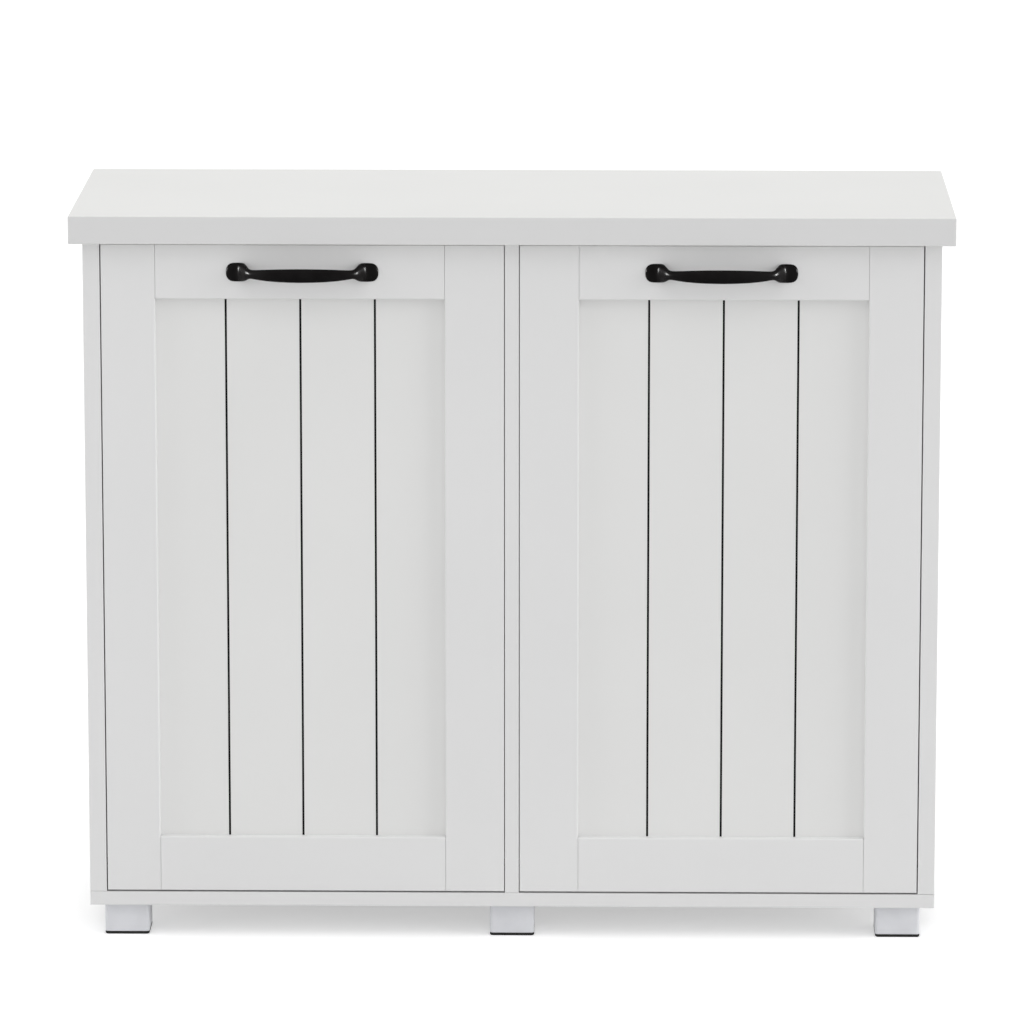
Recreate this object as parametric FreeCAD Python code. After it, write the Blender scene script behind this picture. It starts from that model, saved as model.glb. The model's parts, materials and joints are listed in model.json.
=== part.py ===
import FreeCAD, Part
import math
import os

# A white two-bay cupboard whose doors tip forward on pivot pins. Each door carries a cradle that a
# bin stands in. Lengths are millimetres and angles degrees. +Z is up, the doors face -Y, and +X is to
# the right of a person who faces them. The origin is on the floor under the middle of the whole
# object, handles included.

Vector = FreeCAD.Vector
ALONG_X = Vector(1, 0, 0)
ALONG_Y = Vector(0, 1, 0)
ALONG_Z = Vector(0, 0, 1)

# Cabinet
overall_height = 790.0
top_width = 940.0
top_depth = 350.0
top_thickness = 30.0
top_edge_radius = 1.2
top_side_overhang = 14.0
top_front_overhang = 15.0
side_thickness = 18.0
divider_thickness = 15.0
bottom_thickness = 15.0
back_thickness = 3.0
back_recess = 2.0
back_inset = 2.0
back_seam = 0.5
stretcher_thickness = 15.0
stretcher_height = 100.0
notch_clearance = 0.3
board_edge_radius = 0.6
board_seam = 0.2

# Feet
foot_width = 48.0
foot_height = 35.0
foot_pad_thickness = 3.0
foot_pad_bevel = 1.0
foot_corner_radius = 3.5
foot_bottom_radius = 0.8
foot_side_inset = 15.0
foot_front_inset = 10.0

# Doors
door_panel_thickness = 9.0
door_frame_thickness = 9.0
door_outer_gap = 1.25
door_inner_gap = 0.85
door_top_gap = 2.6
door_bottom_gap = 1.9
outer_stile_width = 57.5
inner_stile_width = 62.9
top_rail_height = 58.2
bottom_rail_height = 59.6
rail_end_gap = 0.3
frame_edge_radius = 0.5
opening_edge_radius = 1.6
groove_count = 3
groove_pitch = 79.4
groove_width = 2.3
groove_depth = 3.0
groove_cover = 8.0

# Handles
handle_length = 162.0
handle_hole_pitch = 128.0
handle_projection = 30.0
handle_bar_height = 15.2
handle_bar_thickness = 8.0
handle_neck_height = 9.4
handle_pad_length = 25.0
handle_pad_height = 20.6
handle_pad_thickness = 3.2
handle_pad_radius = 9.0
handle_pad_edge_radius = 1.0
handle_hump_reach = 8.0
handle_screw_grip = 6.0

# Door pivots
pivot_height = 30.0
pivot_pin_radius = 4.0
pivot_clearance = 0.05
pivot_pin_seat = 30.0
pivot_end_clearance = 0.5
bush_wall = 2.0
bush_flange_width = 2.0
bush_flange_thickness = 1.0
bush_web = 1.0

# Bin cradles
cheek_thickness = 15.0
cheek_gap = 4.0
cheek_front_height = 500.0
cheek_rear_height = 340.0
cheek_top_width = 70.0
cheek_corner_radius = 35.0
cradle_lift = 8.0
cradle_rear_gap = 17.5
shelf_thickness = 15.0
rear_rail_thickness = 15.0
rear_rail_height = 80.0
rear_rail_drop = 45.0

# Tilt stops: a peg in the cabinet rides in an arched slot of each cheek
tilt_limit = 35.0
stop_radius = 240.0
stop_start_angle = 25.0
peg_radius = 4.0
peg_clearance = 0.5
peg_end_recess = 2.0
peg_web = 8.0

# Magnetic catches and their strike plates
catch_width = 34.0
catch_ear_width = 52.0
catch_ear_thickness = 3.0
catch_depth = 15.0
catch_floor = 1.5
magnet_width = 26.0
magnet_height = 8.0
magnet_depth = 10.0
magnet_proud = 1.0
magnet_gap = 0.3
strike_width = 40.0
strike_height = 13.0
strike_thickness = 1.2
strike_drop = 1.0

# Fittings
fit_clearance = 0.1
cam_radius = 7.5
cam_depth = 12.0
cam_setback = 24.0
cam_slot_width = 1.6
cam_slot_depth = 2.0
cam_bolt_radius = 3.0
cam_bolt_tip = 3.0
cam_thread_depth = 11.0
cam_edge_distance = 60.0
stretcher_cam_spread = 50.0
carcass_screw_length = 50.0
carcass_screw_radius = 2.5
carcass_screw_head_radius = 5.0
carcass_screw_head_height = 3.0
bin_screw_length = 45.0
bin_screw_radius = 2.0
bin_screw_head_radius = 4.0
bin_screw_head_height = 2.5
bin_screw_inset = 60.0
rail_screw_spread = 44.0
handle_screw_radius = 2.0
handle_screw_head_radius = 4.2
handle_screw_head_height = 2.6
catch_screw_radius = 1.5
catch_screw_head_radius = 3.0
catch_screw_head_height = 2.0
catch_screw_length = 15.0
foot_screw_radius = 2.2
foot_screw_head_radius = 4.2
foot_screw_head_height = 2.8
foot_screw_bite = 12.0
foot_floor_thickness = 9.0
nail_radius = 0.8
nail_head_radius = 2.5
nail_head_thickness = 0.8
nail_length = 18.0
nail_spacing = 140.0
nail_edge_distance = 10.0
wall_hole_radius = 2.75

# Places in depth, from front to rear
overall_depth = top_depth + handle_projection - top_front_overhang
rear_y = overall_depth / 2
top_front_y = rear_y - top_depth
front_y = top_front_y + top_front_overhang
back_rear_y = rear_y - back_recess
board_rear_y = back_rear_y - back_thickness
panel_front_y = front_y + door_frame_thickness
door_back_y = panel_front_y + door_panel_thickness
pivot_y = (front_y + door_back_y) / 2
cradle_rear_y = board_rear_y - cradle_rear_gap
stretcher_front_y = board_rear_y - stretcher_thickness

# Heights, from the floor up
bottom_z = foot_height
floor_z = bottom_z + bottom_thickness
upright_bottom_z = floor_z + board_seam
under_top_z = overall_height - top_thickness
door_bottom_z = floor_z + door_bottom_gap
door_top_z = under_top_z - door_top_gap
opening_bottom_z = door_bottom_z + bottom_rail_height
rail_bottom_z = door_top_z - top_rail_height
handle_z = door_top_z - top_rail_height / 2
pivot_z = door_bottom_z + pivot_height
cheek_bottom_z = floor_z + cradle_lift
shelf_top_z = cheek_bottom_z + shelf_thickness
rear_rail_top_z = cheek_bottom_z + cheek_rear_height - rear_rail_drop
stretcher_bottom_z = under_top_z - stretcher_height
strike_top_z = door_top_z - strike_drop
magnet_z = strike_top_z - strike_height / 2
catch_bottom_z = magnet_z - magnet_height / 2 - catch_floor

# Places across, measured out from the middle
side_outer_x = top_width / 2 - top_side_overhang
side_inner_x = side_outer_x - side_thickness
divider_x = divider_thickness / 2
door_inner_x = divider_x + door_inner_gap
door_outer_x = side_inner_x - door_outer_gap
door_middle_x = (door_inner_x + door_outer_x) / 2
opening_inner_x = door_inner_x + inner_stile_width
opening_outer_x = door_outer_x - outer_stile_width
bin_inner_x = divider_x + cheek_gap + cheek_thickness
bin_outer_x = side_inner_x - cheek_gap - cheek_thickness
bush_depth = (divider_thickness - bush_web) / 2

# The two bays: which way each one lies from the divider
BAYS = {"left": -1, "right": 1}

nodes = {}


def box(x0, x1, y0, y1, z0, z1):
    """Block between two values on each axis, given in either order."""
    low = Vector(min(x0, x1), min(y0, y1), min(z0, z1))
    return Part.makeBox(abs(x1 - x0), abs(y1 - y0), abs(z1 - z0), low)


def rod(radius, start, direction, length):
    """Round bar from a point along a direction."""
    return Part.makeCylinder(radius, length, start, direction)


def lathe(profile, start, direction):
    """Turned piece from (radius, distance along the axis) points, set at start and aimed along direction."""
    points = [Vector(radius, 0, along) for radius, along in profile]
    face = Part.Face(Part.makePolygon(points + points[:1]))
    solid = face.revolve(Vector(0, 0, 0), ALONG_Z, 360)
    solid.Placement = FreeCAD.Placement(start, FreeCAD.Rotation(ALONG_Z, direction))
    return solid


def soften(shape, radius, chosen):
    """Rounds the edges for which chosen(edge's middle point, edge's direction) is true."""
    edges = []
    for edge in shape.Edges:
        start, end = edge.Vertexes[0].Point, edge.Vertexes[-1].Point
        if chosen((start + end) / 2, end - start):
            edges.append(edge)
    return shape.makeFillet(radius, edges)


def soften_front(shape, y, radius):
    """Rounds the edges round the face of a board that lies at the given y."""
    return soften(shape, radius, lambda middle, run: abs(middle.y - y) < 1e-6 and abs(run.y) < 1e-6)


def drill(names, tool):
    """Cuts a tool out of the named boards."""
    for name in names:
        nodes[name] = nodes[name].cut(tool)


def cross_recess(head_radius, head_height, start, direction):
    """Cross for a driver, sunk into a screw's head from start along direction."""
    reach, half = head_radius * 0.5, head_radius * 0.13
    depth = head_height * 0.6
    cross = box(-reach, reach, -half, half, 0, depth).fuse(box(-half, half, -reach, reach, 0, depth))
    cross.Placement = FreeCAD.Placement(start, FreeCAD.Rotation(ALONG_Z, direction))
    return cross


def nail(radius, length, head_radius, head_height, start, direction):
    """Nail whose round head sits on the surface at start, with a shank that runs along direction."""
    crown = head_radius * 0.7
    profile = [(0, -head_height), (crown, -head_height), (head_radius, -head_height / 2), (head_radius, 0)]
    return lathe(profile + [(radius, 0), (radius, length), (0, length)], start, direction)


def pan_screw(radius, length, head_radius, head_height, start, direction):
    """Screw with a nail's shape and a cross in its head."""
    screw = nail(radius, length, head_radius, head_height, start, direction)
    return screw.cut(cross_recess(head_radius, head_height, start - direction * head_height, direction))


def flush_hole(radius, length, head_radius, head_height, start, direction, grow=fit_clearance):
    """Countersunk hole from the surface at start, wider by grow than the screw that it takes."""
    profile = [(0, 0), (head_radius + grow, 0), (radius + grow, head_height), (radius + grow, length + grow)]
    return lathe(profile + [(0, length + grow)], start, direction)


def flush_screw(radius, length, head_radius, head_height, start, direction):
    """Countersunk screw whose head is flush with the surface at start, with a cross in it."""
    screw = flush_hole(radius, length, head_radius, head_height, start, direction, 0.0)
    return screw.cut(cross_recess(head_radius, head_height, start, direction))


def cam_joint(into, through, joint, bolt_way, cam_way, half_thickness):
    """Knock-down joint: a bolt screwed into some boards at the point joint, and a cam that grips it.

    The bolt runs along bolt_way inside the board named through. The cam is let into that board's face,
    which lies half_thickness away from the bolt, against cam_way.
    """
    reach = cam_setback + cam_bolt_tip
    bolt = rod(cam_bolt_radius, joint - bolt_way * cam_thread_depth, bolt_way, cam_thread_depth + reach)
    hole_start = joint - bolt_way * (cam_thread_depth + fit_clearance)
    hole_length = cam_thread_depth + reach + 2 * fit_clearance
    bolt_hole = rod(cam_bolt_radius + fit_clearance, hole_start, bolt_way, hole_length)
    face = joint + bolt_way * cam_setback - cam_way * half_thickness
    across = bolt_way.cross(cam_way)
    slot = Part.makeBox(2 * cam_radius, cam_slot_width, cam_slot_depth)
    slot.translate(Vector(-cam_radius, -cam_slot_width / 2, 0))
    turn = FreeCAD.Rotation(across, Vector(), cam_way, "ZXY")
    slot.Placement = FreeCAD.Placement(face, turn) * slot.Placement
    cam = rod(cam_radius, face, cam_way, cam_depth).cut(bolt_hole).cut(slot)
    drill(into + [through], bolt_hole)
    drill([through], rod(cam_radius + fit_clearance, face, cam_way, cam_depth + fit_clearance))
    return cam, bolt


def build_boards():
    """The cabinet's boards, before anything is drilled."""
    half_top = top_width / 2
    top = box(-half_top, half_top, top_front_y, rear_y, under_top_z, overall_height)
    nodes["top_panel"] = top.makeFillet(top_edge_radius, top.Edges)
    for side, sign in BAYS.items():
        upright = box(
            sign * side_inner_x, sign * side_outer_x, front_y, board_rear_y, upright_bottom_z, under_top_z,
        )
        nodes[f"{side}_side_panel"] = soften_front(upright, front_y, board_edge_radius)
        back = box(
            sign * back_seam / 2, sign * (side_outer_x - back_inset),
            board_rear_y, back_rear_y, bottom_z + back_inset, under_top_z - back_inset,
        )
        nodes[f"{side}_back_panel"] = back
    divider = box(-divider_x, divider_x, front_y, board_rear_y, upright_bottom_z, under_top_z)
    notch = box(
        -divider_x, divider_x, stretcher_front_y - notch_clearance, board_rear_y,
        stretcher_bottom_z - notch_clearance, under_top_z,
    )
    nodes["centre_divider"] = soften_front(divider, front_y, board_edge_radius).cut(notch)
    bottom = box(-side_outer_x, side_outer_x, front_y, board_rear_y, bottom_z, floor_z)
    nodes["bottom_panel"] = soften_front(bottom, front_y, board_edge_radius)
    nodes["rear_stretcher"] = box(
        -side_inner_x, side_inner_x, stretcher_front_y, board_rear_y, stretcher_bottom_z, under_top_z,
    )


def join_boards():
    """Cams under the top and in the stretcher, and screws up through the bottom."""
    cams, bolts, screws = [], [], []
    uprights = {
        "left_side_panel": -(side_inner_x + side_thickness / 2),
        "centre_divider": 0.0,
        "right_side_panel": side_inner_x + side_thickness / 2,
    }
    for name, x in uprights.items():
        half = (divider_thickness if name == "centre_divider" else side_thickness) / 2
        cam_way = ALONG_X if name == "right_side_panel" else -ALONG_X
        for y in (front_y + cam_edge_distance, board_rear_y - cam_edge_distance):
            cam, bolt = cam_joint(["top_panel"], name, Vector(x, y, under_top_z), -ALONG_Z, cam_way, half)
            cams.append(cam)
            bolts.append(bolt)
            start = Vector(x, y, bottom_z)
            head = (carcass_screw_head_radius, carcass_screw_head_height)
            screw = (carcass_screw_radius, carcass_screw_length, *head)
            screws.append(flush_screw(*screw, start, ALONG_Z))
            drill(["bottom_panel", name], flush_hole(*screw, start, ALONG_Z))
    for side, sign in BAYS.items():
        for rise in (-stretcher_cam_spread / 2, stretcher_cam_spread / 2):
            joint = Vector(
                sign * side_inner_x, board_rear_y - stretcher_thickness / 2,
                under_top_z - stretcher_height / 2 + rise,
            )
            cam, bolt = cam_joint(
                [f"{side}_side_panel"], "rear_stretcher", joint,
                ALONG_X * -sign, ALONG_Y, stretcher_thickness / 2,
            )
            cams.append(cam)
            bolts.append(bolt)
    nodes["carcass_cam_locks"] = Part.makeCompound(cams)
    nodes["carcass_cam_bolts"] = Part.makeCompound(bolts)
    nodes["bottom_panel_screws"] = Part.makeCompound(screws)


def evenly(start, end, spacing):
    """Places from start to end, both included, no further apart than spacing."""
    steps = max(1, math.ceil(abs(end - start) / spacing))
    return [start + (end - start) * step / steps for step in range(steps + 1)]


def nail_backs():
    """Nails round the back panels, and the holes that a wall screw goes through."""
    nails = []
    boards = ["centre_divider", "bottom_panel", "rear_stretcher"]
    for side, sign in BAYS.items():
        side_nail_x = sign * (side_inner_x + side_thickness / 2)
        divider_nail_x = sign * divider_thickness / 4
        bottom_nail_z = bottom_z + bottom_thickness / 2
        stretcher_nail_z = stretcher_bottom_z + nail_edge_distance
        places = []
        for z in evenly(floor_z + nail_spacing / 2, stretcher_bottom_z - nail_spacing / 4, nail_spacing):
            places += [(side_nail_x, z), (divider_nail_x, z)]
        for x in evenly(sign * bin_inner_x, sign * bin_outer_x, nail_spacing):
            places += [(x, bottom_nail_z), (x, stretcher_nail_z)]
        for x, z in places:
            head = (nail_head_radius, nail_head_thickness)
            nails.append(nail(nail_radius, nail_length, *head, Vector(x, back_rear_y, z), -ALONG_Y))
        holes = [
            rod(nail_radius + fit_clearance, Vector(x, back_rear_y, z), -ALONG_Y, nail_length + fit_clearance)
            for x, z in places
        ]
        drill([f"{side}_back_panel", f"{side}_side_panel"] + boards, Part.makeCompound(holes))
        wall_hole = Vector(sign * door_middle_x, back_rear_y, under_top_z - stretcher_height / 2)
        drill(
            [f"{side}_back_panel", "rear_stretcher"],
            rod(wall_hole_radius, wall_hole, -ALONG_Y, back_thickness + stretcher_thickness),
        )
    nodes["back_panel_nails"] = Part.makeCompound(nails)


def build_feet():
    """Six moulded feet on black pads, each held by a screw that its pad hides."""
    pads, screws = [], []
    half = foot_width / 2
    across = side_outer_x - foot_side_inset - half
    columns = {"left": -across, "middle": 0.0, "right": across}
    rows = {"front": front_y + foot_front_inset + half, "rear": board_rear_y - foot_front_inset - half}
    for row, y in rows.items():
        for column, x in columns.items():
            square = box(x - half, x + half, y - half, y + half, 0, bottom_z)
            square = soften(square, foot_corner_radius, lambda middle, run: abs(run.z) > 1)
            pad = square.common(box(x - half, x + half, y - half, y + half, 0, foot_pad_thickness))
            pad = pad.makeChamfer(foot_pad_bevel, [e for e in pad.Edges if e.BoundBox.ZMax < 1e-6])
            foot = square.cut(box(x - half, x + half, y - half, y + half, 0, foot_pad_thickness))
            under = [e for e in foot.Edges if e.BoundBox.ZMax < foot_pad_thickness + 1e-6]
            foot = foot.makeFillet(foot_bottom_radius, under)
            seat_z = bottom_z - foot_floor_thickness
            well_radius = foot_screw_head_radius + 1
            foot = foot.cut(rod(well_radius, Vector(x, y, 0), ALONG_Z, seat_z))
            seat = Vector(x, y, seat_z)
            length = foot_floor_thickness + foot_screw_bite
            head = (foot_screw_head_radius, foot_screw_head_height)
            hole = rod(foot_screw_radius + fit_clearance, seat, ALONG_Z, length + fit_clearance)
            nodes[f"{row}_{column}_foot"] = foot.cut(hole)
            drill(["bottom_panel"], hole)
            pads.append(pad)
            screws.append(pan_screw(foot_screw_radius, length, *head, seat, ALONG_Z))
    nodes["foot_pads"] = Part.makeCompound(pads)
    nodes["foot_screws"] = Part.makeCompound(screws)


def ease_frame(sign):
    """Outline of a door's frame in one piece, its arrises rounded outside and more round the opening."""
    frame = box(sign * door_inner_x, sign * door_outer_x, front_y, panel_front_y, door_bottom_z, door_top_z)
    frame = soften_front(frame, front_y, frame_edge_radius)
    reach = (opening_outer_x - opening_inner_x) / 2 + frame_edge_radius
    middle_x = sign * (opening_inner_x + opening_outer_x) / 2
    frame = frame.cut(
        box(
            sign * opening_inner_x, sign * opening_outer_x, front_y, panel_front_y,
            opening_bottom_z, rail_bottom_z,
        )
    )

    def on_rim(middle, run):
        across, rise = abs(middle.x - middle_x), middle.z - opening_bottom_z
        level = abs(middle.y - front_y) < 1e-6 and abs(run.y) < 1e-6
        return level and across < reach and -1e-6 < rise < rail_bottom_z - opening_bottom_z + 1e-6

    return soften(frame, opening_edge_radius, on_rim)


def build_door(side, sign):
    """Grooved panel with four frame strips on its front; the grooves end behind the rails."""
    panel = box(
        sign * door_inner_x, sign * door_outer_x, panel_front_y, door_back_y, door_bottom_z, door_top_z,
    )
    opening_middle_x = sign * (opening_inner_x + opening_outer_x) / 2
    groove_z0 = opening_bottom_z - groove_cover
    groove_z1 = rail_bottom_z + groove_cover
    for number in range(groove_count):
        x = opening_middle_x + (number - (groove_count - 1) / 2) * groove_pitch
        half = groove_width / 2
        floor_y = panel_front_y + groove_depth
        panel = panel.cut(box(x - half, x + half, panel_front_y, floor_y, groove_z0, groove_z1))
    nodes[f"{side}_door_panel"] = panel
    frame = ease_frame(sign)
    rail_x0, rail_x1 = opening_inner_x + rail_end_gap, opening_outer_x - rail_end_gap
    strips = {
        "outer_stile": (opening_outer_x, door_outer_x, door_bottom_z, door_top_z),
        "inner_stile": (door_inner_x, opening_inner_x, door_bottom_z, door_top_z),
        "top_rail": (rail_x0, rail_x1, rail_bottom_z, door_top_z),
        "bottom_rail": (rail_x0, rail_x1, door_bottom_z, opening_bottom_z),
    }
    for name, (x0, x1, z0, z1) in strips.items():
        nodes[f"{side}_door_{name}"] = frame.common(box(sign * x0, sign * x1, front_y, panel_front_y, z0, z1))


def build_pivots():
    """Steel pins in the doors' lower corners, turning in bushes in the cabinet's walls."""
    bushes = []
    bore = pivot_pin_radius + pivot_clearance
    outside = bore + bush_wall
    flange = outside + bush_flange_width
    for side, sign in BAYS.items():
        pins = []
        walls = {
            "outer_stile": (f"{side}_side_panel", sign * side_inner_x, sign, door_outer_gap),
            "inner_stile": ("centre_divider", sign * divider_x, -sign, door_inner_gap),
        }
        for stile, (wall, wall_x, way, gap) in walls.items():
            face = Vector(wall_x, pivot_y, pivot_z)
            outward = ALONG_X * way
            profile = [(bore, 0), (flange, 0), (flange, bush_flange_thickness)]
            profile += [(outside, bush_flange_thickness), (outside, bush_depth), (bore, bush_depth)]
            bushes.append(lathe(profile, face, outward))
            drill([wall], rod(flange, face, outward, bush_flange_thickness))
            drill([wall], rod(outside, face, outward, bush_depth))
            start = face - outward * (gap + pivot_pin_seat)
            length = pivot_pin_seat + gap + bush_depth - pivot_end_clearance
            pins.append(rod(pivot_pin_radius, start, outward, length))
            seat = rod(pivot_pin_radius, start, outward, pivot_pin_seat)
            drill([f"{side}_door_panel", f"{side}_door_{stile}"], seat)
        nodes[f"{side}_door_pivot_pins"] = Part.makeCompound(pins)
    nodes["pivot_bushes"] = Part.makeCompound(bushes)


def handle_section(x, middle_x):
    """Closed curve round the handle's bar at the distance x from its middle."""
    foot = handle_hole_pitch / 2 + handle_hump_reach
    gap_end = handle_length / 2 - handle_pad_length
    neck = gap_end - handle_neck_height / 4
    out = handle_projection * (1 - (abs(x) / foot) ** 4)
    back = max(0.0, (handle_projection - handle_bar_thickness) * (1 - (abs(x) / gap_end) ** 4))
    taper = min(1.0, abs(x) / neck) ** 2
    height = handle_bar_height + (handle_neck_height - handle_bar_height) * taper
    if abs(x) > neck:
        height += (handle_pad_height * 0.8 - handle_neck_height) * (abs(x) - neck) / (foot - neck)
    points = []
    for step in range(12):
        turn = 2 * math.pi * step / 12
        depth = (out + back) / 2 + (out - back) / 2 * math.cos(turn)
        points.append(Vector(middle_x + x, front_y - depth, handle_z + height / 2 * math.sin(turn)))
    curve = Part.BSplineCurve()
    curve.interpolate(Points=points, PeriodicFlag=True)
    return Part.Wire([curve.toShape()])


def build_handle(side, sign):
    """Arched pull with a broad pad at each end, bolted through the top rail from behind."""
    middle_x = sign * door_middle_x
    reach = handle_hole_pitch / 2 + handle_hump_reach / 2
    shares = [1, 0.92, 0.84, 0.75, 0.6, 0.35]
    stations = [-share for share in shares] + [0] + shares[::-1]
    bar = Part.makeLoft([handle_section(reach * station, middle_x) for station in stations], True)
    half_pad = handle_pad_height / 2
    behind = box(
        middle_x - handle_length, middle_x + handle_length, front_y, door_back_y,
        handle_z - handle_pad_height, handle_z + handle_pad_height,
    )
    handle = bar.cut(behind)
    screws = []
    for end in (-1, 1):
        tip = middle_x + end * handle_length / 2
        pad = box(
            tip, tip - end * handle_pad_length, front_y, front_y - handle_pad_thickness,
            handle_z - half_pad, handle_z + half_pad,
        )
        pad = soften(pad, handle_pad_radius, lambda middle, run: abs(run.y) > 1)
        front = front_y - handle_pad_thickness
        rim = [e for e in pad.Edges if e.BoundBox.YMax < front + 1e-6]
        handle = handle.fuse(pad.makeFillet(handle_pad_edge_radius, rim))
        place = Vector(middle_x + end * handle_hole_pitch / 2, door_back_y, handle_z)
        door_thickness = door_panel_thickness + door_frame_thickness
        length = door_thickness + handle_screw_grip
        hole = rod(handle_screw_radius + fit_clearance, place, -ALONG_Y, length + fit_clearance)
        handle = handle.cut(hole)
        drill([f"{side}_door_panel", f"{side}_door_top_rail"], hole)
        head = (handle_screw_head_radius, handle_screw_head_height)
        screws.append(pan_screw(handle_screw_radius, length, *head, place, -ALONG_Y))
    nodes[f"{side}_door_handle"] = handle
    nodes[f"{side}_handle_screws"] = Part.makeCompound(screws)


def stop_point(angle, radius=stop_radius):
    """Place at an angle behind the vertical, round the pivot, as (y, z)."""
    turn = math.radians(angle)
    return pivot_y + radius * math.sin(turn), pivot_z + radius * math.cos(turn)


def stop_slot(x0, x1):
    """Arched slot round the pivot, between two values of x, that a stop peg rides in."""
    half = peg_radius + peg_clearance
    first, last = stop_start_angle, stop_start_angle + tilt_limit

    def point(angle, radius):
        return Vector(x0, *stop_point(angle, radius))

    def cap(angle, way):
        centre = point(angle, stop_radius)
        turn = math.radians(angle)
        return centre + Vector(0, math.cos(turn), -math.sin(turn)) * half * way

    outer, inner, middle = stop_radius + half, stop_radius - half, (first + last) / 2
    edges = [
        Part.Arc(point(first, outer), point(middle, outer), point(last, outer)),
        Part.Arc(point(last, outer), cap(last, 1), point(last, inner)),
        Part.Arc(point(last, inner), point(middle, inner), point(first, inner)),
        Part.Arc(point(first, inner), cap(first, -1), point(first, outer)),
    ]
    face = Part.Face(Part.Wire([edge.toShape() for edge in edges]))
    return face.extrude(Vector(x1 - x0, 0, 0))


def build_cheek(x0, x1):
    """Side board of a cradle: high at the door, lower at the rear."""
    top_z = cheek_bottom_z + cheek_front_height
    outline = [
        (door_back_y, cheek_bottom_z),
        (cradle_rear_y, cheek_bottom_z),
        (cradle_rear_y, cheek_bottom_z + cheek_rear_height),
        (door_back_y + cheek_top_width, top_z),
        (door_back_y, top_z),
    ]
    points = [Vector(x0, y, z) for y, z in outline]
    board = Part.Face(Part.makePolygon(points + points[:1])).extrude(Vector(x1 - x0, 0, 0))
    board = soften(
        board, cheek_corner_radius,
        lambda middle, run: abs(run.x) > 1 and middle.y > door_back_y + 1,
    )
    return board.cut(stop_slot(x0, x1))


def build_cradle(side, sign):
    """Two cheeks, a shelf and a rear rail behind a door, with the fittings that hold them."""
    cams, bolts, screws = [], [], []
    inner_x, outer_x = sign * bin_inner_x, sign * bin_outer_x
    shelf, rail = f"{side}_bin_shelf", f"{side}_bin_rear_rail"
    nodes[shelf] = box(inner_x, outer_x, door_back_y, cradle_rear_y, cheek_bottom_z, shelf_top_z)
    rail_front_y = cradle_rear_y - rear_rail_thickness
    nodes[rail] = box(
        inner_x, outer_x, rail_front_y, cradle_rear_y, rear_rail_top_z - rear_rail_height, rear_rail_top_z,
    )
    shelf_z = (cheek_bottom_z + shelf_top_z) / 2
    rail_y = (rail_front_y + cradle_rear_y) / 2
    rail_z = rear_rail_top_z - rear_rail_height / 2
    for place, face_x, way in (("outer", outer_x, sign), ("inner", inner_x, -sign)):
        cheek = f"{side}_bin_{place}_cheek"
        outer_face_x = face_x + way * cheek_thickness
        nodes[cheek] = build_cheek(face_x, outer_face_x)
        cheek_top_z = cheek_bottom_z + cheek_front_height
        for z in (cheek_bottom_z + cam_edge_distance, cheek_top_z - cam_edge_distance):
            joint = Vector(face_x + way * cheek_thickness / 2, door_back_y, z)
            into = [f"{side}_door_panel", f"{side}_door_{place}_stile"]
            cam, bolt = cam_joint(into, cheek, joint, ALONG_Y, ALONG_X * way, cheek_thickness / 2)
            cams.append(cam)
            bolts.append(bolt)
        spots = [
            (shelf, door_back_y + bin_screw_inset, shelf_z),
            (shelf, cradle_rear_y - bin_screw_inset, shelf_z),
            (rail, rail_y, rail_z - rail_screw_spread / 2),
            (rail, rail_y, rail_z + rail_screw_spread / 2),
        ]
        for board, y, z in spots:
            start = Vector(outer_face_x, y, z)
            inward = ALONG_X * -way
            screw = (bin_screw_radius, bin_screw_length, bin_screw_head_radius, bin_screw_head_height)
            screws.append(flush_screw(*screw, start, inward))
            drill([cheek, board], flush_hole(*screw, start, inward))
    nodes[f"{side}_bin_cam_locks"] = Part.makeCompound(cams)
    nodes[f"{side}_bin_cam_bolts"] = Part.makeCompound(bolts)
    nodes[f"{side}_bin_screws"] = Part.makeCompound(screws)


def build_stop_pegs():
    """Steel pegs through the divider and in both sides, one in each cheek's slot."""
    y, z = stop_point(stop_start_angle)
    reach = cheek_gap + cheek_thickness - peg_end_recess
    through = rod(peg_radius, Vector(-divider_x - reach, y, z), ALONG_X, 2 * (divider_x + reach))
    pegs = [through]
    drill(["centre_divider"], through)
    for side, sign in BAYS.items():
        seat = side_thickness - peg_web
        peg = rod(peg_radius, Vector(sign * (side_inner_x + seat), y, z), ALONG_X * -sign, seat + reach)
        pegs.append(peg)
        drill([f"{side}_side_panel"], peg)
    nodes["stop_pegs"] = Part.makeCompound(pegs)


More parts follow.
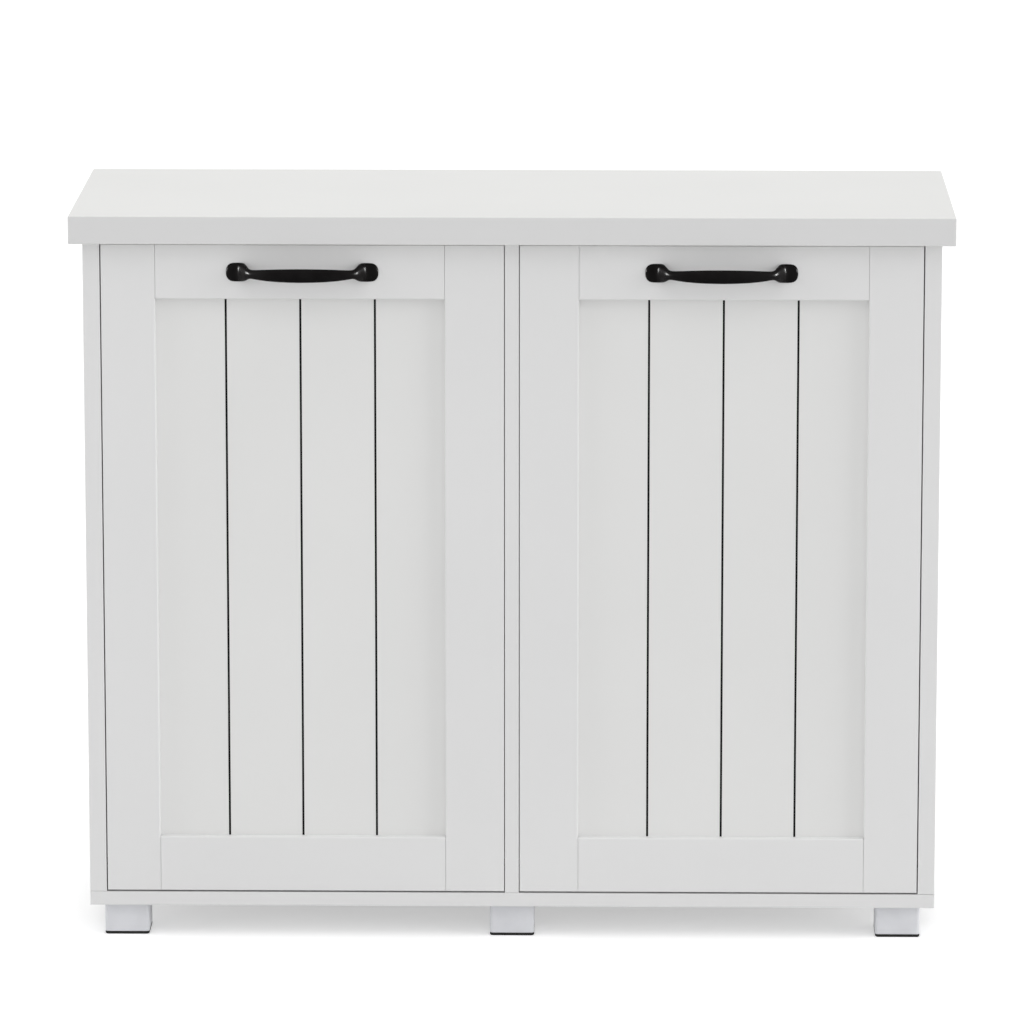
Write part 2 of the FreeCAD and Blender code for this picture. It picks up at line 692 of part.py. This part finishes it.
def build_catches():
    """Magnetic catches under the top, and the plates on the doors that they hold."""
    bodies, magnets, screws = [], [], []
    magnet_front_y = door_back_y + strike_thickness + magnet_gap
    body_front_y = magnet_front_y + magnet_proud
    body_rear_y = body_front_y + catch_depth
    for side, sign in BAYS.items():
        x = sign * door_middle_x
        body = box(
            x - catch_width / 2, x + catch_width / 2, body_front_y, body_rear_y, catch_bottom_z, under_top_z,
        )
        ears = box(
            x - catch_ear_width / 2, x + catch_ear_width / 2, body_front_y, body_rear_y,
            under_top_z - catch_ear_thickness, under_top_z,
        )
        magnet = box(
            x - magnet_width / 2, x + magnet_width / 2, magnet_front_y, magnet_front_y + magnet_depth,
            magnet_z - magnet_height / 2, magnet_z + magnet_height / 2,
        )
        body = body.fuse(ears).removeSplitter().cut(magnet)
        for end in (-1, 1):
            place = Vector(
                x + end * (catch_width + catch_ear_width) / 4, (body_front_y + body_rear_y) / 2,
                under_top_z - catch_ear_thickness,
            )
            hole = rod(catch_screw_radius + fit_clearance, place, ALONG_Z, catch_screw_length + fit_clearance)
            body = body.cut(hole)
            drill(["top_panel"], hole)
            head = (catch_screw_head_radius, catch_screw_head_height)
            screws.append(pan_screw(catch_screw_radius, catch_screw_length, *head, place, ALONG_Z))
        bodies.append(body)
        magnets.append(magnet)
        build_strike(side, x)
    nodes["catch_bodies"] = Part.makeCompound(bodies)
    nodes["catch_magnets"] = Part.makeCompound(magnets)
    nodes["catch_screws"] = Part.makeCompound(screws)


def build_strike(side, x):
    """Steel plate on the back of a door, held by one flush screw."""
    plate = box(
        x - strike_width / 2, x + strike_width / 2, door_back_y, door_back_y + strike_thickness,
        strike_top_z - strike_height, strike_top_z,
    )
    plate = soften(plate, strike_height / 6, lambda middle, run: abs(run.y) > 1)
    start = Vector(x, door_back_y + strike_thickness, magnet_z)
    screw = (catch_screw_radius, catch_screw_length, catch_screw_head_radius, strike_thickness)
    nodes[f"{side}_strike_plate"] = plate.cut(flush_hole(*screw, start, -ALONG_Y))
    drill(
        [f"{side}_door_panel", f"{side}_door_top_rail"],
        rod(catch_screw_radius + fit_clearance, start, -ALONG_Y, catch_screw_length + fit_clearance),
    )
    nodes[f"{side}_strike_screw"] = flush_screw(*screw, start, -ALONG_Y)


def main():
    build_boards()
    join_boards()
    nail_backs()
    build_feet()
    for side, sign in BAYS.items():
        build_door(side, sign)
        build_handle(side, sign)
        build_cradle(side, sign)
    build_pivots()
    build_stop_pegs()
    build_catches()
    os.makedirs("parts", exist_ok=True)
    for name, shape in nodes.items():
        shape.exportStep(f"parts/{name}.step")
        sound = all(solid.isValid() for solid in shape.Solids)
        state = "sound" if sound else "NOT SOUND"
        print(f"{name}: {len(shape.Solids)} solids, {shape.Volume / 1000:.1f} cm3, {state}")
    print(f"pivot at y {pivot_y:.2f}, z {pivot_z:.2f}; {len(nodes)} nodes")


main()
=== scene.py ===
import json
import math

import bmesh
import bpy
from mathutils import Matrix, Vector


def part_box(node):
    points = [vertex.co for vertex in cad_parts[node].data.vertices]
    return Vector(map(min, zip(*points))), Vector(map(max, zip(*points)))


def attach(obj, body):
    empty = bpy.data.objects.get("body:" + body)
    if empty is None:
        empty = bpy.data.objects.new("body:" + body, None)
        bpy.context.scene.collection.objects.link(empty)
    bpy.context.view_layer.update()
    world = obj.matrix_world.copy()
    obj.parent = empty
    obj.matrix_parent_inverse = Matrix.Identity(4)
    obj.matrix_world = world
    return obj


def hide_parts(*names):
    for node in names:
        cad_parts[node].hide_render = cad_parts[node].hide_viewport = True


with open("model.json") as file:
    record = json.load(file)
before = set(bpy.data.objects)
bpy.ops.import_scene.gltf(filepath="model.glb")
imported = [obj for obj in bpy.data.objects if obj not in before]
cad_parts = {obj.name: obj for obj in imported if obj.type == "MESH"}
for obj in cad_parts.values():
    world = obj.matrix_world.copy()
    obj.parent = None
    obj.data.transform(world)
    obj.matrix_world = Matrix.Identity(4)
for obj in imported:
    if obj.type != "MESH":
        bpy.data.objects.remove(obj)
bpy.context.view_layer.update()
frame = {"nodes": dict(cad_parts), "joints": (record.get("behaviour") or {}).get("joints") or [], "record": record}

# Lengths in this file are millimetres times MM, which makes metres.
MM = 0.001

# Doors, as their nodes are named
sides = ("left", "right")

# Grooves of the door panels
groove_pitch = 79.4 * MM
groove_width = 2.3 * MM
groove_depth = 3.0 * MM
groove_margin = 0.25 * MM
groove_stop = 40.0 * MM

# Handles: half of the bar, from the tip of its pad to its middle. Each row is a cut across it, in millimetres:
# distance from the tip, half height, reach of its front and start of its back from the door.
handle_cuts = [
    (0.0, 2.4, 1.0, -1.0),
    (0.5, 4.8, 2.0, -2.0),
    (2.0, 7.6, 2.9, -2.9),
    (4.4, 9.5, 3.4, -3.4),
    (7.4, 10.2, 3.7, -3.7),
    (11.8, 10.35, 4.1, -4.1),
    (14.0, 10.35, 5.8, -5.8),
    (16.6, 10.3, 9.4, -9.4),
    (19.0, 9.9, 12.8, -11.0),
    (21.1, 8.8, 15.4, -7.0),
    (22.9, 7.2, 17.0, -1.0),
    (24.6, 5.7, 18.4, 4.6),
    (26.6, 4.85, 19.8, 8.8),
    (30.0, 5.0, 21.6, 12.6),
    (36.0, 5.6, 24.0, 16.0),
    (46.0, 6.5, 26.8, 19.2),
    (62.0, 7.3, 29.2, 21.4),
    (81.0, 7.6, 30.0, 22.0),
]
handle_ring_points = 16

# Tilt stop slots in the bin cheeks: an arc round the pivot
slot_radius = 240.0 * MM
slot_half_width = 5.2 * MM

# Printed skin on the inner face of the hardboard backs
back_skin = 0.2 * MM

# Width of the slow clouds of tone on lacquered boards, and the two tones of the cradles' melamine
tone_drift = 260.0 * MM
melamine_tones = ("#E1E0DE", "#E5E4E2")

# Floor and lamps, with angles in degrees
floor_half_width = 40000.0 * MM
lamp_aim_height = 400.0 * MM
sun_distance = 5000.0 * MM
strip_distance = 4000.0 * MM
strip_elevation = 14
strip_width = 250.0 * MM
strip_height = 1200.0 * MM
strip_watts = 560.0

# Camera: a long lens, a little above the cabinet and almost straight in front of it. The lens and the film
# are in the camera's own millimetres, and the angles in degrees.
lens_length = 234.9
film_width = 36.0
camera_place = Vector((118.7, -7152.5, 1855.9)) * MM
camera_dip = 11.2
camera_turn = 0.97


def linear(hex_colour):
    """Colour written as sRGB hex, turned to the linear values that the shaders take."""
    parts = [int(hex_colour[i:i + 2], 16) / 255 for i in (1, 3, 5)]
    return [c / 12.92 if c <= 0.04045 else ((c + 0.055) / 1.055) ** 2.4 for c in parts] + [1.0]


def per(length):
    """Scale of a pattern whose marks are about this long."""
    return 1.0 / length


def add(tree, kind, sockets=None, **settings):
    """Adds a node with its settings; each socket gets a value, or a link from another node's output."""
    node = tree.nodes.new(kind)
    for name, value in settings.items():
        setattr(node, name, value)
    for name, value in (sockets or {}).items():
        if isinstance(value, bpy.types.NodeSocket):
            tree.links.new(value, node.inputs[name])
        else:
            node.inputs[name].default_value = value
    return node


def new_material(name):
    """Empty material, its node tree, and the Object coordinates that its patterns read."""
    material = bpy.data.materials.new(name)
    material.use_nodes = True
    tree = material.node_tree
    tree.nodes.clear()
    return material, tree, add(tree, "ShaderNodeTexCoord").outputs["Object"]


def two_tone(tree, place, blotch, deep, pale):
    """Colour that drifts between two tones in soft blotches."""
    cloud = add(tree, "ShaderNodeTexNoise", {"Vector": place, "Scale": per(blotch), "Detail": 3.0})
    share = add(
        tree, "ShaderNodeMapRange", {"Value": cloud.outputs["Fac"], "From Min": 0.35, "From Max": 0.65},
    )
    mixed = {0: share.outputs["Result"], 6: linear(deep), 7: linear(pale)}
    return add(tree, "ShaderNodeMix", mixed, data_type="RGBA").outputs[2]


def coat(tree, place, colour, grit, height, rough, **fixed):
    """Shader of a finish: its colour, and a grit that raises the surface and breaks its gloss."""
    grain = add(tree, "ShaderNodeTexNoise", {"Vector": place, "Scale": per(grit), "Detail": 2.0})
    gloss = add(
        tree, "ShaderNodeMapRange", {"Value": grain.outputs["Fac"], "To Min": rough[0], "To Max": rough[1]},
    )
    bump = add(tree, "ShaderNodeBump", {"Height": grain.outputs["Fac"], "Strength": 0.25, "Distance": height})
    shader = add(tree, "ShaderNodeBsdfPrincipled", {
        "Base Color": colour, "Roughness": gloss.outputs["Result"], "Normal": bump.outputs["Normal"], **fixed,
    })
    add(tree, "ShaderNodeOutputMaterial", {"Surface": shader.outputs["BSDF"]})


def plain_finish(name, deep, pale, blotch, grit, height, rough, **fixed):
    """Finish that is the same all over a piece."""
    material, tree, place = new_material(name)
    coat(tree, place, two_tone(tree, place, blotch, deep, pale), grit, height, rough, **fixed)
    return material


def lacquer(tree, place, colour, **fixed):
    """Satin lacquer sprayed on board: even and soft, with an orange peel that only shows in the gloss."""
    coat(tree, place, colour, 2.4 * MM, 0.06 * MM, (0.36, 0.46), **fixed)


def painted_board(name, deep, pale):
    """White lacquered board, with slow clouds of tone as wide as a hand."""
    material, tree, place = new_material(name)
    lacquer(tree, place, two_tone(tree, place, tone_drift, deep, pale))
    return material


def banded_top(name, deep, pale, band):
    """The same lacquer on the top, whose edges have a glued band a shade deeper than the face."""
    material, tree, place = new_material(name)
    face = two_tone(tree, place, tone_drift, deep, pale)
    normal = add(tree, "ShaderNodeNewGeometry").outputs["Normal"]
    upward = add(tree, "ShaderNodeSeparateXYZ", {"Vector": normal}).outputs["Z"]
    level = add(tree, "ShaderNodeMath", {0: upward}, operation="ABSOLUTE").outputs[0]
    share = {"Value": level, "From Min": 0.2, "From Max": 0.8}
    share = add(tree, "ShaderNodeMapRange", share).outputs["Result"]
    mixed = {0: share, 6: linear(band), 7: face}
    lacquer(tree, place, add(tree, "ShaderNodeMix", mixed, data_type="RGBA").outputs[2])
    return material


def grooved_planks(name, deep, pale, middle_x, low, high):
    """The same lacquer on a door's panel, with its grooves sprayed matt black down to their floor."""
    material, tree, place = new_material(name)
    planks = two_tone(tree, place, tone_drift, deep, pale)
    axes = add(tree, "ShaderNodeSeparateXYZ", {"Vector": place}).outputs
    across = add(tree, "ShaderNodeMath", {0: axes["X"], 1: middle_x}, operation="SUBTRACT").outputs[0]
    half = groove_pitch / 2
    wrapped = add(tree, "ShaderNodeMath", {0: across, 1: half, 2: -half}, operation="WRAP").outputs[0]
    reach = groove_width / 2 + groove_margin
    in_line = add(tree, "ShaderNodeMath", {0: wrapped, 1: 0.0, 2: reach}, operation="COMPARE").outputs[0]
    middle_z = (low.z + high.z) / 2
    in_length = {0: axes["Z"], 1: middle_z, 2: (high.z - low.z) / 2 - groove_stop}
    in_length = add(tree, "ShaderNodeMath", in_length, operation="COMPARE").outputs[0]
    middle_y = low.y + groove_margin + groove_depth / 2
    in_depth = {0: axes["Y"], 1: middle_y, 2: groove_depth / 2}
    in_depth = add(tree, "ShaderNodeMath", in_depth, operation="COMPARE").outputs[0]
    in_field = add(tree, "ShaderNodeMath", {0: in_length, 1: in_depth}, operation="MULTIPLY").outputs[0]
    in_groove = add(tree, "ShaderNodeMath", {0: in_line, 1: in_field}, operation="MULTIPLY").outputs[0]
    mixed = {0: in_groove, 6: planks, 7: linear("#0D0C0C")}
    sheen = {"Value": in_groove, "To Min": 0.5, "To Max": 0.12}
    sheen = add(tree, "ShaderNodeMapRange", sheen).outputs["Result"]
    colour = add(tree, "ShaderNodeMix", mixed, data_type="RGBA").outputs[2]
    lacquer(tree, place, colour, **{"Specular IOR Level": sheen})
    return material


def slotted_cheek(name, pivot):
    """White melamine of the bin cheeks, with bare chipboard on the walls of the tilt slots."""
    material, tree, place = new_material(name)
    skin = two_tone(tree, place, tone_drift, *melamine_tones)
    centred = {"Vector": place, "Location": (0.0, -pivot.y, -pivot.z), "Scale": (0.0, 1.0, 1.0)}
    centred = add(tree, "ShaderNodeMapping", centred).outputs["Vector"]
    away = add(tree, "ShaderNodeVectorMath", {0: centred}, operation="LENGTH").outputs["Value"]
    in_slot = {0: away, 1: slot_radius, 2: slot_half_width}
    in_slot = add(tree, "ShaderNodeMath", in_slot, operation="COMPARE").outputs[0]
    normal = add(tree, "ShaderNodeNewGeometry").outputs["Normal"]
    sideways = add(tree, "ShaderNodeSeparateXYZ", {"Vector": normal}).outputs["X"]
    on_edge = add(tree, "ShaderNodeMath", {0: sideways, 1: 0.0, 2: 0.5}, operation="COMPARE").outputs[0]
    bare = add(tree, "ShaderNodeMath", {0: in_slot, 1: on_edge}, operation="MULTIPLY").outputs[0]
    chips = add(tree, "ShaderNodeTexVoronoi", {"Vector": place, "Scale": per(2.2 * MM)}).outputs["Distance"]
    wood = {0: chips, 6: linear("#C7A877"), 7: linear("#8F6E45")}
    wood = add(tree, "ShaderNodeMix", wood, data_type="RGBA").outputs[2]
    mixed = {0: bare, 6: skin, 7: wood}
    lacquer(tree, place, add(tree, "ShaderNodeMix", mixed, data_type="RGBA").outputs[2])
    return material


def hardboard(name, inner_y):
    """Brown pressed fibreboard, flecked with fibres behind and printed white on the side of the bins."""
    material, tree, place = new_material(name)
    board = two_tone(tree, place, 45 * MM, "#91704C", "#9B7A54")
    laid = add(tree, "ShaderNodeMapping", {"Vector": place, "Scale": (1.0, 1.0, 0.35)}).outputs["Vector"]
    fibres = {"Vector": laid, "Scale": per(1.8 * MM), "Detail": 4.0}
    fibres = add(tree, "ShaderNodeTexNoise", fibres).outputs["Fac"]
    share = {"Value": fibres, "From Min": 0.55, "From Max": 0.75, "To Max": 0.6}
    share = add(tree, "ShaderNodeMapRange", share).outputs["Result"]
    flecked = {0: share, 6: board, 7: linear("#BC9C72")}
    flecked = add(tree, "ShaderNodeMix", flecked, data_type="RGBA").outputs[2]
    depth = add(tree, "ShaderNodeSeparateXYZ", {"Vector": place}).outputs["Y"]
    printed = {0: depth, 1: inner_y + back_skin}
    printed = add(tree, "ShaderNodeMath", printed, operation="LESS_THAN").outputs[0]
    mixed = {0: printed, 6: flecked, 7: linear("#E2E2DF")}
    colour = add(tree, "ShaderNodeMix", mixed, data_type="RGBA").outputs[2]
    coat(tree, place, colour, 1.6 * MM, 0.4 * MM, (0.6, 0.8))
    return material


def small_finishes():
    """Finishes of the feet, the fittings and the handles, by material slot."""
    return {
        # Black baked lacquer on cast zinc: deep, with a low satin gloss and a very fine grit
        "black_metal": plain_finish(
            "black_satin_coat_on_cast_zinc", "#070606", "#0B0A0A", 14 * MM, 0.7 * MM, 0.03 * MM, (0.22, 0.28),
            **{"Specular IOR Level": 0.04},
        ),
        # Moulded ABS, a little cooler than the boards, with the fine spark texture of its tool
        "foot_plastic": plain_finish(
            "cool_white_abs", "#DEDFE3", "#E4E5E9", 25 * MM, 0.9 * MM, 0.15 * MM, (0.42, 0.55),
        ),
        # Pressed rubber: black and dull, grey with dust in places
        "black_rubber": plain_finish(
            "black_rubber", "#101010", "#201F1E", 9 * MM, 1.2 * MM, 0.3 * MM, (0.75, 0.9),
        ),
        # Injection-moulded nylon: milky white and smooth
        "white_plastic": plain_finish(
            "white_nylon", "#DCDCD8", "#E4E4E0", 8 * MM, 0.8 * MM, 0.1 * MM, (0.38, 0.5),
        ),
        # Pole plates of a magnet: ground steel, grey and a little blotchy
        "magnet": plain_finish(
            "ground_steel", "#6E6E70", "#8A8A8C", 12 * MM, 0.8 * MM, 0.05 * MM, (0.35, 0.55),
            Metallic=1.0,
        ),
        # Die-cast zinc: dull and grey, with the flow marks of its casting
        "zinc": plain_finish(
            "die_cast_zinc", "#A3A5A8", "#B9BBBE", 12 * MM, 1.0 * MM, 0.05 * MM, (0.4, 0.58),
            Metallic=1.0,
        ),
        # Bright drawn steel: clear gloss, with fine scratches from the die
        "steel": plain_finish(
            "bright_drawn_steel", "#B4B5B8", "#C8C9CC", 12 * MM, 0.6 * MM, 0.05 * MM, (0.22, 0.36),
            Metallic=1.0,
        ),
        # Zinc plate on steel: cool silver, a little cloudy
        "zinc_steel": plain_finish(
            "zinc_plated_steel", "#B2B6BA", "#C9CCCF", 12 * MM, 0.6 * MM, 0.05 * MM, (0.25, 0.4),
            Metallic=1.0,
        ),
    }


def door_finish(side):
    """Plank finish of a door, set by the opening of its frame."""
    stiles = [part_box(f"{side}_door_{name}_stile") for name in ("outer", "inner")]
    left, right = sorted(stiles, key=lambda corners: corners[0].x)
    middle_x = (left[1].x + right[0].x) / 2
    low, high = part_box(f"{side}_door_panel")
    return grooved_planks(f"white_lacquered_planks_{side}", "#E7E7E6", "#E9E9E8", middle_x, low, high)


def dress_nodes(finishes):
    """Gives every CAD node the finish of its material slot, or its own where it has one."""
    pivot = Vector(frame["joints"][0]["pos_m"])
    by_slot = {
        "white_board": painted_board("white_lacquered_boards", "#E4E4E4", "#E6E6E6"),
        "door_frame_paint": painted_board("white_lacquered_frames", "#E5E5E5", "#E7E7E7"),
        "cradle_board": painted_board("white_melamine_cradle", *melamine_tones),
        "hardboard": hardboard("brown_hardboard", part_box("left_back_panel")[0].y),
        **finishes,
    }
    by_node = {f"{side}_door_panel": door_finish(side) for side in sides}
    cheeks = [f"{side}_bin_{place}_cheek" for side in sides for place in ("outer", "inner")]
    by_node |= dict.fromkeys(cheeks, slotted_cheek("white_melamine_cheeks", pivot))
    # Oiled black oxide on steel: almost black and dull, so that no pin shines in the doors' gaps
    pins = plain_finish(
        "oiled_black_steel", "#161617", "#222223", 10 * MM, 0.6 * MM, 0.05 * MM, (0.4, 0.55), Metallic=1.0,
    )
    by_node |= {f"{side}_door_pivot_pins": pins for side in sides}
    by_node["top_panel"] = banded_top("white_lacquered_top", "#E5E5E3", "#E7E7E5", "#DDDDDD")
    for subpart in frame["record"]["subparts"]:
        name, slot = subpart["node"], subpart["material_slot"]
        frame["nodes"][name].material_slots[0].material = by_node.get(name) or by_slot[slot]


def make_handle(side, finish):
    """Arched pull: rings drawn out from tip to tip, rounded, then cut flat where its pads lie on the door."""
    low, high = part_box(f"{side}_door_handle")
    middle = Vector(((low.x + high.x) / 2, high.y, (low.z + high.z) / 2))
    half_length = (high.x - low.x) / 2
    cuts = [(-half_length + cut[0] * MM, *cut[1:]) for cut in handle_cuts]
    cuts += [(-cut[0], *cut[1:]) for cut in reversed(cuts[:-1])]
    bm = bmesh.new()
    upright = Matrix.Rotation(math.pi / 2, 4, "Y")
    bmesh.ops.create_circle(bm, segments=handle_ring_points, radius=1.0, matrix=upright)
    points, ring, last = list(bm.verts), list(bm.edges), Matrix.Identity(4)
    caps = [ring]
    for number, (x, half_height, front, back) in enumerate(cuts):
        if number > 0:
            made = bmesh.ops.extrude_edge_only(bm, edges=ring)["geom"]
            points = [g for g in made if isinstance(g, bmesh.types.BMVert)]
            edges = [g for g in made if isinstance(g, bmesh.types.BMEdge)]
            ring = [edge for edge in edges if all(v in points for v in edge.verts)]
        size = Matrix.Diagonal((1.0, (front - back) / 2 * MM, half_height * MM, 1.0))
        here = Matrix.Translation((x, -(front + back) / 2 * MM, 0.0)) @ size
        bmesh.ops.transform(bm, verts=points, matrix=here @ last.inverted())
        last = here
    caps.append(ring)
    for cap in caps:
        bmesh.ops.contextual_create(bm, geom=cap)
    bmesh.ops.recalc_face_normals(bm, faces=bm.faces)
    draft = add_piece(bm, f"{side}_handle_draft")
    rounding = draft.modifiers.new("rounding", "SUBSURF")
    rounding.levels = rounding.render_levels = 2
    shaped = draft.evaluated_get(bpy.context.evaluated_depsgraph_get())
    bm = bmesh.new()
    bm.from_mesh(shaped.to_mesh())
    bpy.data.objects.remove(draft)
    whole = bm.verts[:] + bm.edges[:] + bm.faces[:]
    cut = bmesh.ops.bisect_plane(bm, geom=whole, plane_co=(0, 0, 0), plane_no=(0, 1, 0), clear_outer=True)
    rims = [g for g in cut["geom_cut"] if isinstance(g, bmesh.types.BMEdge)]
    flats = bmesh.ops.holes_fill(bm, edges=rims, sides=0)["faces"]
    bmesh.ops.translate(bm, verts=bm.verts, vec=middle)
    handle = add_piece(bm, f"{side}_pull_handle", flats)
    handle.data.materials.append(finish)
    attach(handle, f"{side}_door")
    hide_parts(f"{side}_door_handle")
    return handle


def add_piece(bm, name, flats=()):
    """Object made from a bmesh, smooth but for the faces in flats."""
    for face in bm.faces:
        face.smooth = face not in flats
    for face in flats:
        for edge in face.edges:
            edge.smooth = False
    mesh = bpy.data.meshes.new(name)
    bm.to_mesh(mesh)
    bm.free()
    piece = bpy.data.objects.new(name, mesh)
    bpy.context.scene.collection.objects.link(piece)
    return piece


def seen_ray(tree):
    """One where the background is looked at, also in a gloss or through glass; nought where it lights."""
    path = add(tree, "ShaderNodeLightPath").outputs
    either = {0: path["Is Camera Ray"], 1: path["Is Glossy Ray"]}
    either = add(tree, "ShaderNodeMath", either, operation="MAXIMUM").outputs[0]
    any_ray = {0: either, 1: path["Is Transmission Ray"]}
    return add(tree, "ShaderNodeMath", any_ray, operation="MAXIMUM").outputs[0]


def make_floor():
    """White paper floor, lifted to the background's white where it is looked at, which keeps the shadow."""
    bm = bmesh.new()
    bmesh.ops.create_grid(bm, x_segments=1, y_segments=1, size=floor_half_width)
    floor = add_piece(bm, "floor")
    material, tree, _ = new_material("white_paper")
    matt = add(tree, "ShaderNodeBsdfDiffuse", {"Color": linear("#E6E6E6")}).outputs[0]
    glow = add(tree, "ShaderNodeEmission", {"Color": linear("#FFFFFF"), "Strength": 0.44}).outputs[0]
    lifted = add(tree, "ShaderNodeAddShader", {0: matt, 1: glow}).outputs[0]
    shown = add(tree, "ShaderNodeMixShader", {0: seen_ray(tree), 1: matt, 2: lifted}).outputs[0]
    add(tree, "ShaderNodeOutputMaterial", {"Surface": shown})
    floor.data.materials.append(material)


def add_lamp(name, kind, azimuth, elevation, distance, **settings):
    """Lamp that faces the cabinet from an azimuth, 0 in front and 90 on its right, and an elevation."""
    lamp = bpy.data.lights.new(name, kind)
    for setting, value in settings.items():
        setattr(lamp, setting, value)
    turn, rise = math.radians(azimuth), math.radians(elevation)
    away = Vector((math.sin(turn) * math.cos(rise), -math.cos(turn) * math.cos(rise), math.sin(rise)))
    fitting = bpy.data.objects.new(name, lamp)
    fitting.location = Vector((0.0, 0.0, lamp_aim_height)) + away * distance
    fitting.rotation_euler = away.to_track_quat("Z", "Y").to_euler()
    bpy.context.scene.collection.objects.link(fitting)
    return fitting


def light_scene(handles):
    """White studio: even surroundings, broad light from above and all four sides, and two glint strips."""
    world = bpy.data.worlds.new("white_studio")
    bpy.context.scene.world = world
    world.use_nodes = True
    tree = world.node_tree
    tree.nodes.clear()
    strength = {"Value": seen_ray(tree), "To Min": 0.42, "To Max": 1.0}
    strength = add(tree, "ShaderNodeMapRange", strength).outputs["Result"]
    sky = add(tree, "ShaderNodeBackground", {"Color": linear("#FFFFFF"), "Strength": strength}).outputs[0]
    add(tree, "ShaderNodeOutputWorld", {"Surface": sky})
    # Each broad lamp: azimuth, elevation, spread in degrees, and its share of full light.
    # None mirrors in the lacquer, so that no board flares white when it is seen at a flat angle.
    broad = {
        "top_light": (0, 74, 60, 0.23),
        "front_light": (0, 20, 80, 0.12),
        "left_light": (-80, 12, 40, 0.28),
        "right_light": (80, 12, 40, 0.52),
        "rear_light": (180, 45, 40, 0.1),
    }
    for name, (azimuth, elevation, spread, share) in broad.items():
        sun = add_lamp(
            name, "SUN", azimuth, elevation, sun_distance, angle=math.radians(spread), energy=share * math.pi,
        )
        sun.visible_glossy = False
    # The strips put glints on the handles and light nothing else
    glossy = bpy.data.collections.new("glint_pieces")
    for handle in handles:
        glossy.objects.link(handle)
    for name, azimuth in (("left_strip", -80), ("right_strip", 80)):
        strip = add_lamp(
            name, "AREA", azimuth, strip_elevation, strip_distance,
            shape="RECTANGLE", size=strip_width, size_y=strip_height, energy=strip_watts,
        )
        strip.light_linking.receiver_collection = glossy


def place_camera():
    """Camera in front of the cabinet, dipped towards it, with no shift."""
    lens = bpy.data.cameras.new("camera")
    lens.lens = lens_length
    lens.sensor_width = film_width
    camera = bpy.data.objects.new("camera", lens)
    camera.location = camera_place
    camera.rotation_euler = (math.radians(90 - camera_dip), 0.0, math.radians(camera_turn))
    bpy.context.scene.collection.objects.link(camera)
    bpy.context.scene.camera = camera


finishes = small_finishes()
dress_nodes(finishes)
handles = [make_handle(side, finishes["black_metal"]) for side in sides]
make_floor()
light_scene(handles)
place_camera()
bpy.context.scene.view_settings.view_transform = "Standard"
